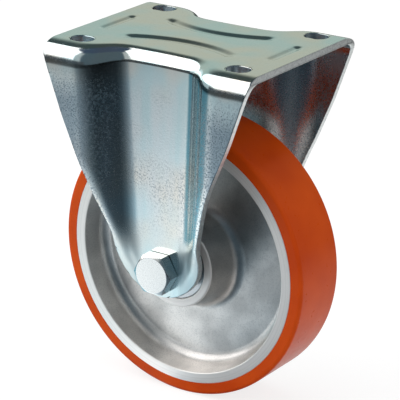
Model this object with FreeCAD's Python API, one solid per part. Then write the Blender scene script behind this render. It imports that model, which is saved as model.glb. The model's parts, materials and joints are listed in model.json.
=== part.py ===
"""Fixed castor: a pressed steel fork with a bolt-on plate, and a polyurethane-tyred
aluminium wheel that turns on two sealed ball bearings around a through bolt.

Units are millimetres.  The origin is the centre of the mounting face, +Z points up
into the furniture, +X is the rolling direction and the axle runs along Y.
"""
import FreeCAD, Part
import math
import os

V = FreeCAD.Vector
ORIGIN = V(0, 0, 0)
UP = V(0, 0, 1)
ACROSS = V(0, 1, 0)
FULL_TURN = 360.0

# mounting plate and its four slots, which run along X
plate_length = 105.0
plate_width = 85.0
sheet = 3.0
bend_radius = 6.0
hole_from_end = 12.5
hole_from_side = 12.5
slot_width = 8.5
slot_length = 11.0

# beads pressed down into the plate: two long bowed ones and two short straight ones
long_bead_width = 6.0
long_bead_depth = 1.5
long_bead_half_span = 25.0
long_bead_offset = 9.2
long_bead_bow = 5.6
short_bead_width = 4.4
short_bead_depth = 1.0
short_bead_length = 20.0
short_bead_inset = 9.5

# legs: a hat-shaped section seen from above and a tapered outline seen from the side
fork_clear_width = 54.5
panel_half_width = 18.8
panel_narrowing = 4.5
flank_run = 11.5
flank_outer_radius = 8.0
flank_inner_radius = 8.0
flange_turn_height = 40.5
flange_turn_radius = 14.0
foot_turn_radius = 8.0
shoulder_drop = 4.0
shoulder_radius = 9.0
hip_half_width = 42.6
hip_height = 66.5
hip_radius = 100.0
knee_half_width = 31.0
knee_height = 40.0
knee_radius = 60.0
leg_half_width = 22.2
leg_neck_height = 15.0
leg_neck_radius = 20.0
leg_end_drop = 12.0

# wheel
axle_drop = 97.5
wheel_diameter = 125.0
wheel_width = 30.0
tread_thickness = 5.5
tread_edge_radius = 1.8
rim_ring_width = 4.7
rim_wall_draft = 2.2
web_thickness = 6.4
web_fillet = 5.0
hub_length = 40.0
hub_diameter = 39.4
hub_draft = 3.0
hub_edge_radius = 0.8

# two deep-groove ball bearings
bearing_bore = 15.0
bearing_outside = 32.0
bearing_width = 9.0
bearing_recess = 0.6
race_wall = 2.2
race_edge = 0.4
ball_diameter = 4.8
ball_count = 9
ball_clearance = 0.02
cage_wall = 1.2
cage_width = 5.8
pocket_clearance = 0.06
seal_thickness = 0.8
seal_inset = 0.3
seal_clearance = 0.05
bearing_shoulder = 2.5

# axle bolt, lock nut, tube and distance rings
bolt_diameter = 10.0
bolt_hole_clearance = 0.15
tube_bore_clearance = 0.1
across_flats = 17.0
head_height = 6.4
washer_face_height = 0.4
washer_face_shrink = 0.5
hex_face_share = 0.95
hex_cone_slope = 0.55
nut_height = 7.0
nut_collar_height = 3.0
nut_collar_wall = 1.2
nut_collar_diameter = 15.2
bolt_tail = 2.5
bolt_end_bevel = 1.0
distance_ring_diameter = 19.0
inner_ring_spacer_diameter = 18.4

# places worked out from the sizes above
hole_spacing_x = plate_length - 2 * hole_from_end
hole_spacing_y = plate_width - 2 * hole_from_side
leg_face_outer = fork_clear_width / 2 + sheet
hat_depth = plate_width / 2 - leg_face_outer
flank_angle = math.atan2(hat_depth, flank_run)
flange_lean = math.atan2(hat_depth, flange_turn_height)
bearing_face = hub_length / 2 - bearing_recess
pitch_radius = (bearing_bore + bearing_outside) / 4
inner_race_radius = bearing_bore / 2 + race_wall
outer_race_radius = bearing_outside / 2 - race_wall
rim_radius = wheel_diameter / 2 - tread_thickness


def rounded_wire(corners):
    """Closed wire through (point, radius) corners, each corner rounded by a tangent arc."""
    count = len(corners)
    spans = []
    for index, (point, radius) in enumerate(corners):
        before = (corners[index - 1][0] - point).normalize()
        after = (corners[(index + 1) % count][0] - point).normalize()
        if radius <= 0:
            spans.append((point, None, point))
            continue
        half = before.getAngle(after) / 2
        reach = radius / math.tan(half)
        middle = point + (before + after).normalize() * (radius / math.sin(half) - radius)
        spans.append((point + before * reach, middle, point + after * reach))
    edges = []
    for index, (start, middle, end) in enumerate(spans):
        if middle is not None:
            edges.append(Part.Arc(start, middle, end).toShape())
        following = spans[(index + 1) % count][0]
        if end.distanceToPoint(following) > 1e-4:
            edges.append(Part.LineSegment(end, following).toShape())
    return Part.Wire(edges)


def prism(wire, direction):
    """Solid swept from a flat closed wire along a direction."""
    return Part.Face(wire).extrude(direction)


def turned(profile):
    """Solid turned about the axle from (radius, y, corner radius) points."""
    corners = [(V(radius, y, 0), edge) for radius, y, edge in profile]
    solid = Part.Face(rounded_wire(corners)).revolve(ORIGIN, ACROSS, FULL_TURN)
    solid.translate(V(0, 0, -axle_drop))
    return solid


def rod(radius, start, length):
    """Plain cylinder along the axle."""
    return Part.makeCylinder(radius, length, V(0, start, -axle_drop), ACROSS)


def tube_ring(inner_radius, outer_radius, start, end, edge=0.0):
    """Plain ring about the axle between two places along it."""
    low, high = min(start, end), max(start, end)
    return turned([
        (inner_radius, low, 0.0), (outer_radius, low, edge),
        (outer_radius, high, edge), (inner_radius, high, 0.0),
    ])


def hat_outline(inset, overrun, drop):
    """Plan outline of the folded sheet at a depth, moved inwards from its outer face by inset."""
    half_length = plate_length / 2 + overrun
    outer_y = plate_width / 2 - inset
    panel_y = leg_face_outer - inset
    inner_x = panel_half_width - panel_narrowing * drop / axle_drop + inset * math.tan(flank_angle / 2)
    outer_x = inner_x + flank_run
    outer_radius = flank_outer_radius - inset
    inner_radius = flank_inner_radius + inset
    back = [
        (V(half_length, outer_y, -drop), 0.0), (V(outer_x, outer_y, -drop), outer_radius),
        (V(inner_x, panel_y, -drop), inner_radius), (V(-inner_x, panel_y, -drop), inner_radius),
        (V(-outer_x, outer_y, -drop), outer_radius), (V(-half_length, outer_y, -drop), 0.0),
    ]
    front = [(V(-point.x, -point.y, -drop), radius) for point, radius in back]
    return rounded_wire(back + front)


def flange_lean_block(inset, depth):
    """Block along X between the flanges, which lean inwards down to the panels at the axle."""
    outer_y = plate_width / 2 - inset
    panel_y = leg_face_outer - inset
    rise = inset * math.tan(flange_lean / 2)
    half = [
        (outer_y, sheet, 0.0), (outer_y, flange_turn_height - axle_drop + rise, flange_turn_radius - inset),
        (panel_y, rise - axle_drop, foot_turn_radius + inset), (panel_y, -depth - sheet, 0.0),
    ]
    half = half + [(-y, z, radius) for y, z, radius in reversed(half)]
    solid = prism(rounded_wire([(V(0, y, z), radius) for y, z, radius in half]), V(2 * plate_length, 0, 0))
    solid.translate(V(-plate_length, 0, 0))
    return solid


def folded_block(inset, overrun, radius):
    """Block inside one face of the sheet, its two long upper edges rounded by the bend."""
    depth = axle_drop + leg_end_drop + sheet + inset
    ends = [hat_outline(inset, overrun, drop) for drop in (inset, depth)]
    block = Part.makeLoft(ends, True, True)
    end_x = plate_length / 2 + overrun
    bends = [
        edge for edge in block.Edges
        if all(abs(vertex.Z + inset) < 1e-6 for vertex in edge.Vertexes)
        and not all(abs(abs(vertex.X) - end_x) < 1e-6 for vertex in edge.Vertexes)
    ]
    return block.makeFillet(radius, bends).common(flange_lean_block(inset, depth))


def side_outline():
    """Prism along Y whose X-Z outline is the plate's end and the tapered leg."""
    half = plate_length / 2
    neck = -axle_drop + leg_neck_height
    bottom = -axle_drop - leg_end_drop
    top = sheet
    right = [
        (V(half, 0, top), 0.0), (V(half, 0, -shoulder_drop), shoulder_radius),
        (V(hip_half_width, 0, hip_height - axle_drop), hip_radius),
        (V(knee_half_width, 0, knee_height - axle_drop), knee_radius),
        (V(leg_half_width, 0, neck), leg_neck_radius), (V(leg_half_width, 0, bottom), leg_half_width),
    ]
    left = [(V(-point.x, 0, point.z), radius) for point, radius in reversed(right)]
    solid = prism(rounded_wire(right + left), V(0, plate_width + 2 * sheet, 0))
    solid.translate(V(0, -plate_width / 2 - sheet, 0))
    return solid


def bead_profile(width, depth, below):
    """Half section of a pressed bead: its arc, its middle line and the sheet's face."""
    arc_radius = ((width / 2) ** 2 + depth ** 2) / (2 * depth)
    rise = arc_radius - depth
    if below:
        arc_radius += sheet
        face = -sheet
    else:
        face = 0.0
    reach = math.sqrt(arc_radius ** 2 - (rise - face) ** 2)
    lowest = rise - arc_radius
    swing = math.asin(reach / arc_radius) / 2
    middle = V(arc_radius * math.sin(swing), 0, rise - arc_radius * math.cos(swing))
    return reach, face, lowest, middle


def bead_end(width, depth, below, place):
    """Round end of a bead: its half section turned about an upright axis."""
    reach, face, lowest, middle = bead_profile(width, depth, below)
    wire = Part.Wire([
        Part.LineSegment(V(0, 0, face), V(0, 0, lowest)).toShape(),
        Part.Arc(V(0, 0, lowest), middle, V(reach, 0, face)).toShape(),
        Part.LineSegment(V(reach, 0, face), V(0, 0, face)).toShape(),
    ])
    solid = Part.Face(wire).revolve(ORIGIN, UP, FULL_TURN)
    solid.translate(place)
    return solid


def bead_section(width, depth, below, place):
    """Full section of a bead in the X-Z plane, moved to a place."""
    reach, face, lowest, _ = bead_profile(width, depth, below)
    wire = Part.Wire([
        Part.Arc(V(-reach, 0, face), V(0, 0, lowest), V(reach, 0, face)).toShape(),
        Part.LineSegment(V(reach, 0, face), V(-reach, 0, face)).toShape(),
    ])
    section = Part.Face(wire)
    section.translate(place)
    return section


def long_bead(side, below):
    """Bowed bead beside the middle of the plate, on the +Y or -Y side."""
    bow_radius = (long_bead_half_span ** 2 + long_bead_bow ** 2) / (2 * long_bead_bow)
    centre = V(0, side * (long_bead_offset + bow_radius), 0)
    half_turn = math.degrees(math.asin(long_bead_half_span / bow_radius))
    section = bead_section(long_bead_width, long_bead_depth, below, V(bow_radius, 0, 0))
    body = section.revolve(ORIGIN, UP, 2 * half_turn)
    body.rotate(ORIGIN, UP, -side * 90.0 - half_turn)
    body.translate(centre)
    end_y = side * (long_bead_offset + long_bead_bow)
    ends = [
        bead_end(long_bead_width, long_bead_depth, below, V(x, end_y, 0))
        for x in (-long_bead_half_span, long_bead_half_span)
    ]
    return body.fuse(ends).removeSplitter()


def short_bead(side, below):
    """Straight bead near the plate's +X or -X end, along Y."""
    x = side * (plate_length / 2 - short_bead_inset)
    half = short_bead_length / 2
    section = bead_section(short_bead_width, short_bead_depth, below, V(x, -half, 0))
    body = section.extrude(V(0, short_bead_length, 0))
    ends = [bead_end(short_bead_width, short_bead_depth, below, V(x, y, 0)) for y in (-half, half)]
    return body.fuse(ends).removeSplitter()


def beads(below):
    """All four beads, as seen on the upper or on the lower face of the sheet."""
    return [make(side, below) for make in (long_bead, short_bead) for side in (-1, 1)]


def plate_slots():
    """Tools for the four fixing slots, each centred on its bolt position."""
    half_run = (slot_length - slot_width) / 2
    radius = slot_width / 2
    tools = []
    for x in (-hole_spacing_x / 2, hole_spacing_x / 2):
        for y in (-hole_spacing_y / 2, hole_spacing_y / 2):
            wire = rounded_wire([
                (V(x + along * (half_run + radius), y + across * radius, 0), radius)
                for along, across in ((-1, -1), (1, -1), (1, 1), (-1, 1))
            ])
            tool = prism(wire, V(0, 0, -3 * sheet))
            tool.translate(V(0, 0, sheet))
            tools.append(tool)
    return tools


def bracket():
    """Plate and both legs, pressed from one sheet."""
    shell = folded_block(0.0, 0.0, bend_radius)
    shell = shell.cut(folded_block(sheet, sheet, bend_radius - sheet))
    shell = shell.common(side_outline())
    shell = shell.fuse(beads(True)).cut(beads(False))
    shell = shell.cut(plate_slots())
    return shell.cut(rod(bolt_diameter / 2 + bolt_hole_clearance, -plate_width / 2, plate_width))


def wheel_centre():
    """Cast aluminium centre: rim, web and hub turned as one section."""
    half_width = wheel_width / 2
    half_hub = hub_length / 2
    half_web = web_thickness / 2
    ring_inner = rim_radius - rim_ring_width
    hub_radius = hub_diameter / 2
    shoulder = bearing_outside / 2 - bearing_shoulder
    seat = bearing_face - bearing_width
    half = [
        (shoulder, seat, 0.0), (bearing_outside / 2, seat, 0.0),
        (bearing_outside / 2, half_hub, 0.3), (hub_radius, half_hub, hub_edge_radius),
        (hub_radius + hub_draft, half_web, web_fillet),
        (ring_inner - rim_wall_draft, half_web, web_fillet),
        (ring_inner, half_width, 0.5), (rim_radius, half_width, 0.0),
    ]
    other = [(radius, -y, edge) for radius, y, edge in reversed(half)]
    return turned(half + other)


def tread():
    """Polyurethane tyre cast round the rim."""
    half_width = wheel_width / 2
    outside = wheel_diameter / 2
    return turned([
        (rim_radius, -half_width, 0.0), (outside, -half_width, tread_edge_radius),
        (outside, half_width, tread_edge_radius), (rim_radius, half_width, 0.0),
    ])


def bearing_middle(side):
    """Place along the axle of a bearing's middle, on the +Y or -Y side."""
    return side * (bearing_face - bearing_width / 2)


def raceway(middle):
    """Ring-shaped tool that cuts a bearing's grooves."""
    circle = Part.Circle(V(pitch_radius, 0, 0), UP, ball_diameter / 2 + ball_clearance)
    torus = Part.Face(Part.Wire(circle.toShape())).revolve(ORIGIN, ACROSS, FULL_TURN)
    torus.translate(V(0, middle, -axle_drop))
    return torus


def inner_ring(side):
    """Inner ring of a bearing, clamped on the axle tube."""
    middle = bearing_middle(side)
    half = bearing_width / 2
    ring = turned([
        (bearing_bore / 2, middle - half, race_edge), (inner_race_radius, middle - half, 0.0),
        (inner_race_radius, middle + half, 0.0), (bearing_bore / 2, middle + half, race_edge),
    ])
    return ring.cut(raceway(middle))


def outer_ring(side):
    """Outer ring of a bearing, pressed into the hub."""
    middle = bearing_middle(side)
    half = bearing_width / 2
    ring = turned([
        (outer_race_radius, middle - half, 0.0), (bearing_outside / 2, middle - half, race_edge),
        (bearing_outside / 2, middle + half, race_edge), (outer_race_radius, middle + half, 0.0),
    ])
    return ring.cut(raceway(middle))


def seal(side, face):
    """Sealing washer held in the outer ring, at a bearing's outer (1) or inner (-1) face."""
    outside = bearing_middle(side) + side * face * (bearing_width / 2 - seal_inset)
    inside = outside - side * face * seal_thickness
    return tube_ring(inner_race_radius + seal_clearance, outer_race_radius, inside, outside)


def ball_directions():
    """Directions from the axle to the balls of a bearing."""
    angles = [2 * math.pi * (index + 0.5) / ball_count for index in range(ball_count)]
    return [V(math.cos(angle), 0, math.sin(angle)) for angle in angles]


def balls(side):
    """The balls of one bearing."""
    middle = V(0, bearing_middle(side), -axle_drop)
    places = [middle + direction * pitch_radius for direction in ball_directions()]
    return Part.makeCompound([Part.makeSphere(ball_diameter / 2, place) for place in places])


def cage(side):
    """Ball cage: a ring with one round window for each ball."""
    middle = bearing_middle(side)
    ring = tube_ring(
        pitch_radius - cage_wall / 2, pitch_radius + cage_wall / 2,
        middle - cage_width / 2, middle + cage_width / 2,
    )
    radius = ball_diameter / 2 + pocket_clearance
    centre = V(0, middle, -axle_drop)
    return ring.cut([
        Part.makeCylinder(radius, bearing_outside / 2, centre, direction) for direction in ball_directions()
    ])


def axle_tube():
    """Tube clamped between the legs; the bearings' inner rings sit on it."""
    bore = bolt_diameter / 2 + tube_bore_clearance
    half = fork_clear_width / 2
    return tube_ring(bore, bearing_bore / 2, -half, half)


def distance_ring(side):
    """Ring that fills the gap from a bearing's inner ring to the leg."""
    start = side * bearing_face
    end = side * fork_clear_width / 2
    return tube_ring(bearing_bore / 2, distance_ring_diameter / 2, start, end, race_edge)


def inner_ring_spacer():
    """Sleeve that keeps the two inner rings apart inside the hub."""
    half = bearing_face - bearing_width
    return tube_ring(bearing_bore / 2, inner_ring_spacer_diameter / 2, -half, half)


def hexagon(start, height, direction):
    """Hexagonal block with flats above and below, its outer corners turned off by a cone."""
    corner = across_flats / math.sqrt(3)
    angles = [math.radians(60 * index) for index in range(7)]
    points = [V(corner * math.cos(angle), start, corner * math.sin(angle) - axle_drop) for angle in angles]
    block = Part.Face(Part.makePolygon(points)).extrude(V(0, direction * height, 0))
    end = start + direction * height
    flat = across_flats / 2 * hex_face_share
    wide = corner + sheet
    cone_foot = end - direction * (wide - flat) * hex_cone_slope
    cone = turned([
        (0.0, start, 0.0), (wide, start, 0.0), (wide, cone_foot, 0.0), (flat, end, 0.0), (0.0, end, 0.0),
    ])
    return block.common(cone)


def axle_bolt():
    """Hexagon bolt through both legs, its head on the -Y side."""
    seat = -leg_face_outer
    radius = bolt_diameter / 2
    washer_face = rod(across_flats / 2 - washer_face_shrink, seat - washer_face_height, washer_face_height)
    head = hexagon(seat - washer_face_height, head_height - washer_face_height, -1)
    end = leg_face_outer + nut_height + nut_collar_height + bolt_tail
    shank = turned([
        (0.0, seat, 0.0), (radius, seat, 0.0), (radius, end - bolt_end_bevel, 0.0),
        (radius - bolt_end_bevel, end, 0.0), (0.0, end, 0.0),
    ])
    return head.fuse([washer_face, shank]).removeSplitter()


def axle_nut():
    """Lock nut on the +Y side: a hexagon with a round collar that holds the insert."""
    seat = leg_face_outer
    collar_start = seat + nut_height
    collar = rod(nut_collar_diameter / 2, collar_start, nut_collar_height)
    pocket = rod(nut_collar_diameter / 2 - nut_collar_wall, collar_start, nut_collar_height)
    hole = rod(bolt_diameter / 2, seat, nut_height + nut_collar_height)
    return hexagon(seat, nut_height, 1).fuse(collar).cut([hole, pocket])


def nut_insert():
    """Locking ring in the nut's collar."""
    start = leg_face_outer + nut_height
    outside = nut_collar_diameter / 2 - nut_collar_wall
    return tube_ring(bolt_diameter / 2, outside, start, start + nut_collar_height)


def pieces():
    """Every piece of the castor by its name."""
    made = {
        "bracket": bracket(),
        "wheel_centre": wheel_centre(),
        "tread": tread(),
        "axle_bolt": axle_bolt(),
        "axle_nut": axle_nut(),
        "nut_insert": nut_insert(),
        "axle_tube": axle_tube(),
        "inner_ring_spacer": inner_ring_spacer(),
    }
    for name, side in (("front", -1), ("rear", 1)):
        made[name + "_distance_ring"] = distance_ring(side)
        made[name + "_inner_ring"] = inner_ring(side)
        made[name + "_outer_ring"] = outer_ring(side)
        made[name + "_cage"] = cage(side)
        made[name + "_balls"] = balls(side)
        made[name + "_outer_seal"] = seal(side, 1)
        made[name + "_inner_seal"] = seal(side, -1)
    return made


os.makedirs("parts", exist_ok=True)
for node, shape in pieces().items():
    shape.exportStep("parts/" + node + ".step")
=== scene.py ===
"""Looks of the fixed castor: zinc-plated pressed fork, turned and cast aluminium wheel centre,
orange polyurethane tread, axle bolt, lock nut and bearings, in a plain pale studio."""
import json
import logging
import math
from dataclasses import dataclass, field
from enum import Enum
from typing import Callable, Dict, List, Optional, Sequence, Tuple

import bpy
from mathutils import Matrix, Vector


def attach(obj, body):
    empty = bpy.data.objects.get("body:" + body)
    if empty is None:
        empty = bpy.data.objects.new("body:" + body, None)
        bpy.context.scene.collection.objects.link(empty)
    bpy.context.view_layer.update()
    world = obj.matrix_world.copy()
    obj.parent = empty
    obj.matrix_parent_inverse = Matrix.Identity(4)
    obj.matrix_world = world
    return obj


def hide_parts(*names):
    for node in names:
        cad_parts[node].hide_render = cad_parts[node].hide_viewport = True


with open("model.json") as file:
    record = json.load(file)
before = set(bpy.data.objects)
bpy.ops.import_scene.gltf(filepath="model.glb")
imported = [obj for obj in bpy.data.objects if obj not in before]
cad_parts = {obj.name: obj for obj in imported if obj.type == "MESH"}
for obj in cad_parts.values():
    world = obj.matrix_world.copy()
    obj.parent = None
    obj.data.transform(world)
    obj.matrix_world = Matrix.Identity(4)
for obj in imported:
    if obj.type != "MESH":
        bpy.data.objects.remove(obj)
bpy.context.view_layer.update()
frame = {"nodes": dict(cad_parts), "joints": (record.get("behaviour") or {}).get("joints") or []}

LOG = logging.getLogger("castor")
MM = 0.001
Point2 = Tuple[float, float]
Corner = Tuple[float, float, float]
Colour = Tuple[float, float, float, float]


class Side(Enum):
    """The two ends of the axle, by the sign of Y."""

    FRONT = -1
    REAR = 1


def linear(red: int, green: int, blue: int) -> Colour:
    """Scene-linear colour of a screen colour.

    Args:
        red: Red from 0 to 255.
        green: Green from 0 to 255.
        blue: Blue from 0 to 255.

    Returns:
        The colour as linear red, green, blue and alpha.
    """
    values = []
    for channel in (red, green, blue):
        share = channel / 255
        values.append(share / 12.92 if share <= 0.04045 else ((share + 0.055) / 1.055) ** 2.4)
    return (values[0], values[1], values[2], 1.0)


# Modelling tools shared by the pieces


class Bench:
    """Hand tools: they start, select, shape and finish a mesh through Blender's operators."""

    @staticmethod
    def clear() -> None:
        """Leave edit mode and deselect everything."""
        if bpy.context.object and bpy.context.object.mode != "OBJECT":
            bpy.ops.object.mode_set(mode="OBJECT")
        for obj in list(bpy.context.selected_objects):
            obj.select_set(False)

    @staticmethod
    def take(obj: bpy.types.Object) -> None:
        """Make one object the only selected and the active one."""
        Bench.clear()
        obj.select_set(True)
        bpy.context.view_layer.objects.active = obj

    @staticmethod
    def edit() -> None:
        """Enter edit mode with everything selected."""
        bpy.ops.object.mode_set(mode="EDIT")
        bpy.ops.mesh.select_all(action="SELECT")

    @staticmethod
    def done() -> None:
        """Leave edit mode."""
        bpy.ops.object.mode_set(mode="OBJECT")

    @staticmethod
    def named(name: str) -> bpy.types.Object:
        """Name the active object and its mesh."""
        obj = bpy.context.object
        obj.name = name
        obj.data.name = name
        return obj

    @staticmethod
    def traced(name: str, points: Sequence[Vector]) -> bpy.types.Object:
        """Closed outline drawn by extruding one vertex from point to point.

        Args:
            name: Name of the new object.
            points: Corners of the outline in millimetres, in order.

        Returns:
            The object, whose mesh is the outline's edges.
        """
        Bench.clear()
        bpy.ops.mesh.primitive_plane_add(size=MM, location=(0, 0, 0))
        obj = Bench.named(name)
        Bench.edit()
        bpy.ops.mesh.merge(type="CENTER")
        bpy.ops.transform.translate(value=points[0] * MM)
        for before, after in zip(points, list(points[1:]) + [points[0]]):
            bpy.ops.mesh.extrude_region_move(TRANSFORM_OT_translate={"value": (after - before) * MM})
        bpy.ops.mesh.select_all(action="SELECT")
        bpy.ops.mesh.remove_doubles(threshold=0.002 * MM)
        Bench.done()
        return obj

    @staticmethod
    def spun(name: str, section: Sequence[Corner], axle: float, steps: int, arc: int = 6) -> bpy.types.Object:
        """Piece turned about the axle from a closed section.

        Args:
            name: Name of the new object.
            section: Corners as (radius, y, corner radius), in millimetres.
            axle: Height of the axle, in millimetres.
            steps: Number of steps round the turn.
            arc: Number of segments in each rounded corner.

        Returns:
            The turned object, closed, with its faces pointing out.
        """
        flat = rounded(section, arc)
        obj = Bench.traced(name, [Vector((radius, y, axle)) for radius, y in flat])
        Bench.edit()
        centre = Vector((0, 0, axle)) * MM
        bpy.ops.mesh.spin(steps=steps, angle=2 * math.pi, center=centre, axis=(0, 1, 0))
        Bench.sealed()
        Bench.done()
        return obj

    @staticmethod
    def sealed(gap: float = 0.002) -> None:
        """Merge the open mesh's doubles and turn its faces outwards, in edit mode."""
        bpy.ops.mesh.select_all(action="SELECT")
        bpy.ops.mesh.remove_doubles(threshold=gap * MM)
        bpy.ops.mesh.normals_make_consistent(inside=False)

    @staticmethod
    def pulled(name: str, points: Sequence[Vector], travel: Vector) -> bpy.types.Object:
        """Prism pulled from a flat outline.

        Args:
            name: Name of the new object.
            points: Corners of the outline in millimetres.
            travel: How far and which way it is pulled, in millimetres.

        Returns:
            The closed prism.
        """
        obj = Bench.traced(name, points)
        Bench.edit()
        bpy.ops.mesh.edge_face_add()
        bpy.ops.mesh.extrude_region_move(TRANSFORM_OT_translate={"value": travel * MM})
        Bench.sealed()
        Bench.done()
        return obj

    @staticmethod
    def cut(obj: bpy.types.Object, tool: bpy.types.Object, operation: str) -> None:
        """Cut or trim an object by another one, which is used up."""
        Bench.take(obj)
        modifier = obj.modifiers.new("cut", "BOOLEAN")
        modifier.operation = operation
        modifier.solver = "EXACT"
        modifier.material_mode = "TRANSFER"
        modifier.object = tool
        bpy.ops.object.modifier_apply(modifier=modifier.name)
        bpy.data.objects.remove(tool)

    @staticmethod
    def bevelled(obj: bpy.types.Object, width: float, segments: int, angle: float) -> None:
        """Round the sharp edges of an object by a bevel, in millimetres and degrees."""
        Bench.take(obj)
        modifier = obj.modifiers.new("edges", "BEVEL")
        modifier.width = width * MM
        modifier.segments = segments
        modifier.limit_method = "ANGLE"
        modifier.angle_limit = math.radians(angle)
        modifier.use_clamp_overlap = False
        bpy.ops.object.modifier_apply(modifier=modifier.name)

    @staticmethod
    def smoothed(obj: bpy.types.Object, angle: float) -> None:
        """Shade smooth up to an angle in degrees, with normals that favour the large faces."""
        Bench.take(obj)
        bpy.ops.object.shade_smooth_by_angle(angle=math.radians(angle))
        modifier = obj.modifiers.new("normals", "WEIGHTED_NORMAL")
        modifier.keep_sharp = True
        modifier.weight = 60
        bpy.ops.object.modifier_apply(modifier=modifier.name)


def rounded(corners: Sequence[Corner], segments: int) -> List[Point2]:
    """Points of a closed outline whose corners are rounded by tangent arcs.

    Args:
        corners: Corners as (x, y, corner radius).
        segments: Segments in each arc.

    Returns:
        The outline's points, in order.
    """
    points: List[Point2] = []
    count = len(corners)
    for index, (x, y, radius) in enumerate(corners):
        here = Vector((x, y))
        if radius <= 0:
            points.append((x, y))
            continue
        before = (Vector(corners[index - 1][:2]) - here).normalized()
        after = (Vector(corners[(index + 1) % count][:2]) - here).normalized()
        half = before.angle(after) / 2
        centre = here + (before + after).normalized() * (radius / math.sin(half))
        start = here + before * (radius / math.tan(half)) - centre
        end = here + after * (radius / math.tan(half)) - centre
        sweep = start.angle_signed(end)
        for step in range(segments + 1):
            turn = -sweep * step / segments
            cos, sin = math.cos(turn), math.sin(turn)
            points.append((
                centre.x + start.x * cos - start.y * sin,
                centre.y + start.x * sin + start.y * cos,
            ))
    return points


# Shader tools and finishes


@dataclass
class Shader:
    """A material's node tree under construction."""

    name: str
    material: bpy.types.Material = field(init=False)

    def __post_init__(self) -> None:
        """Start an empty node tree with a surface shader."""
        self.material = bpy.data.materials.new(self.name)
        self.material.use_nodes = True
        self.tree = self.material.node_tree
        self.tree.nodes.clear()
        self.output = self.node("ShaderNodeOutputMaterial")
        self.surface = self.node("ShaderNodeBsdfPrincipled")
        self.link(self.surface.outputs[0], self.output.inputs["Surface"])
        self.place = self.node("ShaderNodeTexCoord").outputs["Object"]

    def node(self, kind: str, **settings: object) -> bpy.types.Node:
        """Add a node and set its properties."""
        made = self.tree.nodes.new(kind)
        for key, value in settings.items():
            setattr(made, key, value)
        return made

    def link(self, source: bpy.types.NodeSocket, target: bpy.types.NodeSocket) -> None:
        """Join two sockets."""
        self.tree.links.new(source, target)

    def group(self, tree: bpy.types.NodeTree, **values: object) -> bpy.types.Node:
        """Place a shared node group and give its inputs values or links."""
        made = self.node("ShaderNodeGroup", node_tree=tree)
        for key, value in values.items():
            socket = made.inputs[key.replace("_", " ").capitalize()]
            if isinstance(value, bpy.types.NodeSocket):
                self.link(value, socket)
            else:
                socket.default_value = value
        return made

    def blend(self, factor: object, first: object, second: object, mode: str = "MIX") -> bpy.types.NodeSocket:
        """Mix two colours by a factor and return the result's socket."""
        made = self.node("ShaderNodeMix", data_type="RGBA", blend_type=mode)
        for value, socket in ((factor, made.inputs[0]), (first, made.inputs[6]), (second, made.inputs[7])):
            if isinstance(value, bpy.types.NodeSocket):
                self.link(value, socket)
            else:
                socket.default_value = value
        return made.outputs[2]

    def ramp(self, value: bpy.types.NodeSocket, low: float, high: float, to_low: float = 0.0,
             to_high: float = 1.0) -> bpy.types.NodeSocket:
        """Map a value from one range to another, clamped."""
        made = self.node("ShaderNodeMapRange")
        self.link(value, made.inputs["Value"])
        for key, number in (("From Min", low), ("From Max", high), ("To Min", to_low), ("To Max", to_high)):
            made.inputs[key].default_value = number
        return made.outputs[0]

    def math(self, operation: str, first: bpy.types.NodeSocket, second: object) -> bpy.types.NodeSocket:
        """Result of a math node on a socket and a socket or number."""
        made = self.node("ShaderNodeMath", operation=operation)
        self.link(first, made.inputs[0])
        if isinstance(second, bpy.types.NodeSocket):
            self.link(second, made.inputs[1])
        else:
            made.inputs[1].default_value = second
        return made.outputs[0]

    def times(self, first: bpy.types.NodeSocket, second: object) -> bpy.types.NodeSocket:
        """Product of two values."""
        return self.math("MULTIPLY", first, second)

    def relief(self, height: bpy.types.NodeSocket, strength: float, depth: float,
               under: Optional[bpy.types.NodeSocket] = None) -> bpy.types.NodeSocket:
        """Bump from a height; depth is in metres, and under is a normal that it adds to."""
        made = self.node("ShaderNodeBump")
        made.inputs["Strength"].default_value = strength
        made.inputs["Distance"].default_value = depth
        self.link(height, made.inputs["Height"])
        if under is not None:
            self.link(under, made.inputs["Normal"])
        return made.outputs[0]

    def finish(self, colour: object, roughness: object, normal: Optional[bpy.types.NodeSocket] = None,
               **plain: float) -> bpy.types.Material:
        """Feed the surface shader and return the material."""
        for value, key in ((colour, "Base Color"), (roughness, "Roughness")):
            if isinstance(value, bpy.types.NodeSocket):
                self.link(value, self.surface.inputs[key])
            else:
                self.surface.inputs[key].default_value = value
        if normal is not None:
            self.link(normal, self.surface.inputs["Normal"])
        for key, value in plain.items():
            self.surface.inputs[key.replace("_", " ").title().replace("Ior", "IOR")].default_value = value
        return self.material


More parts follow.
